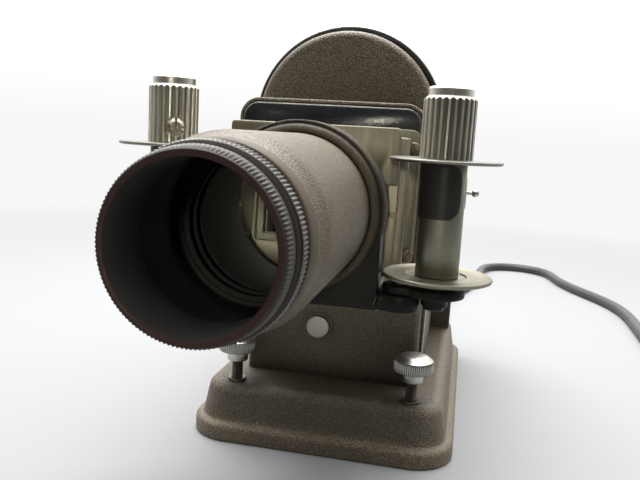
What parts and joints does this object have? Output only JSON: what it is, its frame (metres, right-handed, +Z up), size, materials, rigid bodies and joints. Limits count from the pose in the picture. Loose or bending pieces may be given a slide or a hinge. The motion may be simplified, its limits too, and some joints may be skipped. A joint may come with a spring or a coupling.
{
  "type": "filmstrip projector",
  "caption": "Small still-film projector: arched lamphouse on a stepped plinth, long lens, two upright film spools, levelling screws and a mains cord.",
  "frame": {"origin": "middle of the felt face that the projector stands on, under the middle of the plinth", "axes": "+Z up; +Y from the lens towards the back; +X to the right as seen from in front, towards the toggle switch"},
  "size_m": [0.3719, 0.6257, 0.1794],
  "materials": {
    "crinkle_brown": "crinkle enamel, taupe brown",
    "barrel_brown": "fine crinkle enamel, worn at the edges",
    "rim_metal": "dull grey steel",
    "bottom_steel": "dull zinc",
    "felt": "dark felt",
    "screw_steel": "machined steel",
    "bright_aluminium": "turned, bright",
    "black_rubber": "moulded rubber",
    "black_gloss": "gloss black enamel, edges worn bright",
    "gate_nickel": "satin nickel plate, warm",
    "black_metal": "blackened, worn at the edges",
    "spool_nickel": "satin nickel plate",
    "chrome": "polished",
    "switch_brass": "aged plated brass",
    "brown_plastic": "moulded dark brown",
    "clear_glass": "polished",
    "reflector_mirror": "polished",
    "cord_rubber": "grey-black rubber sheath"
  },
  "bodies": {
    "base": {"base_plinth": "crinkle_brown", "bottom_plate": "bottom_steel", "base_felt": "felt", "case_screws": "screw_steel", "levelling_bushes": "screw_steel", "front_casting": "crinkle_brown", "lamphouse_rim": "rim_metal", "lamphouse_skin": "crinkle_brown", "lamphouse_back": "crinkle_brown", "rear_housing": "crinkle_brown", "rear_cover": "crinkle_brown", "nose_housing": "crinkle_brown", "face_plate": "black_gloss", "gate_housing": "gate_nickel", "rear_gate_plate": "gate_nickel", "front_gate_plate": "gate_nickel", "support_shelf": "gate_nickel", "lens_mount": "black_gloss", "spool_arm_left": "black_metal", "spool_arm_right": "black_metal", "spool_tray_left": "spool_nickel", "spool_tray_right": "spool_nickel", "button_bezel": "black_metal", "button_switch": "brown_plastic", "switch_body": "brown_plastic", "switch_plate": "switch_brass", "condenser_holder": "black_metal", "condenser_lenses": "clear_glass", "reflector": "reflector_mirror", "lamp_bulb": "clear_glass", "lamp_socket": "brown_plastic", "socket_bracket": "bottom_steel", "strain_relief": "black_rubber", "power_cord": "cord_rubber", "cord_coil": "cord_rubber", "plug": "brown_plastic"},
    "level_foot_left": {"levelling_pad_left": "black_rubber"},
    "level_screw_left": {"levelling_stud_left": "screw_steel", "levelling_knob_left": "bright_aluminium"},
    "level_foot_right": {"levelling_pad_right": "black_rubber"},
    "level_screw_right": {"levelling_stud_right": "screw_steel", "levelling_knob_right": "bright_aluminium"},
    "lens": {"lens_barrel": "barrel_brown", "lens_ring": "black_metal", "lens_cell": "black_metal", "lens_front_element": "clear_glass", "lens_rear_element": "clear_glass"},
    "spool_left": {"spool_core_left": "spool_nickel", "film_clip_left": "black_metal", "spool_disc_left": "bright_aluminium", "spool_knob_left": "spool_nickel", "knob_screw_left": "spool_nickel"},
    "spool_right": {"spool_core_right": "spool_nickel", "film_clip_right": "black_metal", "spool_disc_right": "bright_aluminium", "spool_knob_right": "spool_nickel", "knob_screw_right": "spool_nickel"},
    "pressure": {"pressure_plate": "bright_aluminium"},
    "button": {"push_button": "bright_aluminium"},
    "toggle": {"switch_lever": "chrome"}
  },
  "joints": [
    {"name": "left_spool_spin", "type": "hinge", "parent": "base", "child": "spool_left", "pos_m": [-0.0465, -0.128, 0.1085], "axis": [0, 0, 1], "continuous": true},
    {"name": "left_level_lift", "type": "slide", "parent": "base", "child": "level_foot_left", "axis": [0, 0, -1], "range_m": [0, 0.00792]},
    {"name": "left_level_turn", "type": "hinge", "parent": "level_foot_left", "child": "level_screw_left", "pos_m": [-0.0385, -0.0723, 0.033], "axis": [0, 0, -1], "range_deg": [0, 3570]},
    {"name": "right_spool_spin", "type": "hinge", "parent": "base", "child": "spool_right", "pos_m": [0.0465, -0.128, 0.1085], "axis": [0, 0, 1], "continuous": true},
    {"name": "right_level_lift", "type": "slide", "parent": "base", "child": "level_foot_right", "axis": [0, 0, -1], "range_m": [0, 0.00792]},
    {"name": "right_level_turn", "type": "hinge", "parent": "level_foot_right", "child": "level_screw_right", "pos_m": [0.0385, -0.0723, 0.033], "axis": [0, 0, -1], "range_deg": [0, 3570]},
    {"name": "focus_slide", "type": "slide", "parent": "base", "child": "lens", "axis": [0, -1, 0], "range_m": [-0.006, 0.008]},
    {"name": "pressure_slide", "type": "slide", "parent": "base", "child": "pressure", "axis": [0, -1, 0], "range_m": [0, 0.0012], "stiffness_N_per_m": 300, "springref_m": -0.003},
    {"name": "button_press", "type": "slide", "parent": "base", "child": "button", "axis": [0, 1, 0], "range_m": [0, 0.0015], "stiffness_N_per_m": 400, "springref_m": -0.002},
    {"name": "toggle_tilt", "type": "hinge", "parent": "base", "child": "toggle", "pos_m": [0.0505, 0.064, 0.1036], "axis": [0, 0, 1], "range_deg": [-24, 0]}
  ],
  "couplings": [
    {"joint": "left_level_turn", "follows": "left_level_lift", "rad_per_m": 7854},
    {"joint": "right_level_turn", "follows": "right_level_lift", "rad_per_m": 7854}
  ]
}
